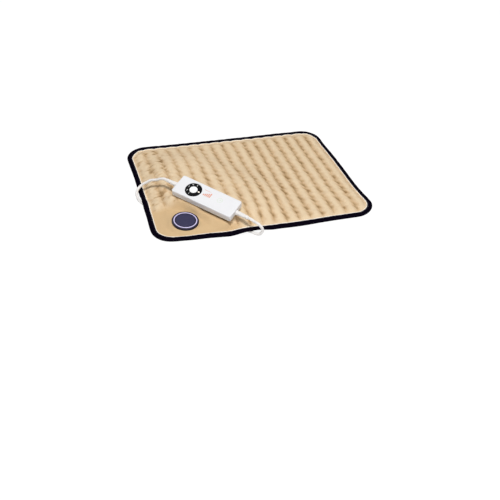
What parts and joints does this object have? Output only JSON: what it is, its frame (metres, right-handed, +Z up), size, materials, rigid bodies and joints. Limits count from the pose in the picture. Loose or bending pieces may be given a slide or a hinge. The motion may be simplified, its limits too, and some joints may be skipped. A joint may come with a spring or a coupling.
{
  "type": "heating pad with controller",
  "caption": "Quilted rectangular heating pad with bound edge, a round flat connector in one corner, a coiled mains cord and an inline hand controller with a round key.",
  "frame": {"origin": "middle of the pad on the surface it lies on", "axes": "+X along the pad's longer side, -Y towards the edge nearer the connector, +Z up from the surface"},
  "size_m": [0.4073, 0.3158, 0.0491],
  "materials": {
    "cover_plush": "brushed plush, quilted",
    "back_cloth": "woven",
    "carrier_felt": "needled felt",
    "binding_tape": "satin woven tape",
    "wire_sleeve": "extruded",
    "white_housing": "satin moulded",
    "white_cord": "extruded",
    "black_keys": "polished",
    "black_plastic": "moulded",
    "cap_plastic": "moulded",
    "slate_disc": "satin moulded",
    "lilac_ring": "moulded",
    "brass_contacts": "plain",
    "steel_screws": "zinc plated",
    "board": "solder mask",
    "component_body": "moulded",
    "film_capacitor": "dipped",
    "clear_glass": "clear",
    "lamp_lens": "translucent"
  },
  "bodies": {
    "pad_and_controller": {"pad_top_cover": "cover_plush", "pad_back_cloth": "back_cloth", "wire_carrier_felt": "carrier_felt", "edge_binding": "binding_tape", "heating_wire": "wire_sleeve", "thermal_limiter": "component_body", "connector_cap": "cap_plastic", "connector_trim_ring": "lilac_ring", "connector_disc": "slate_disc", "connector_base": "cap_plastic", "connector_screw_1": "steel_screws", "connector_screw_2": "steel_screws", "connector_contact_1": "brass_contacts", "connector_contact_2": "brass_contacts", "lead_plug": "black_plastic", "lead_plug_relief": "white_cord", "handset_lower_shell": "white_housing", "handset_upper_shell": "white_housing", "centre_switch": "component_body", "ring_switch_1": "component_body", "ring_switch_2": "component_body", "lamp": "clear_glass", "circuit_board": "board", "capacitor": "film_capacitor", "triac": "component_body", "fuse": "clear_glass", "lead_relief": "white_cord", "lead_terminal": "component_body", "lead_tail": "white_cord", "lead_clamp": "white_housing", "mains_relief": "white_cord", "mains_terminal": "component_body", "mains_tail": "white_cord", "mains_clamp": "white_housing", "clamp_screw_1": "steel_screws", "clamp_screw_2": "steel_screws", "clamp_screw_3": "steel_screws", "clamp_screw_4": "steel_screws", "shell_screw_1": "steel_screws", "shell_screw_2": "steel_screws", "shell_screw_3": "steel_screws", "shell_screw_4": "steel_screws", "lead_cord": "white_cord", "mains_cord": "white_cord", "mains_coil": "white_cord", "coil_tie": "black_plastic", "plug_relief": "white_cord", "plug_body": "white_cord", "plug_pin_1": "brass_contacts", "plug_pin_2": "brass_contacts"},
    "ring_key": {"level_ring": "black_keys", "ring_window": "lamp_lens"},
    "button_key": {"centre_button": "white_housing"}
  },
  "joints": [
    {"name": "ring_rock", "type": "hinge", "parent": "pad_and_controller", "child": "ring_key", "pos_m": [-0.11576, -0.06312, 0.03879], "axis": [0.6788, -0.7305, -0.075], "range_deg": [-2.5, 2.5], "stiffness_Nm_per_rad": 0.38},
    {"name": "button_press", "type": "slide", "parent": "pad_and_controller", "child": "button_key", "axis": [0.1403, 0.2292, -0.9632], "range_m": [0, 0.0008], "stiffness_N_per_m": 2500}
  ]
}
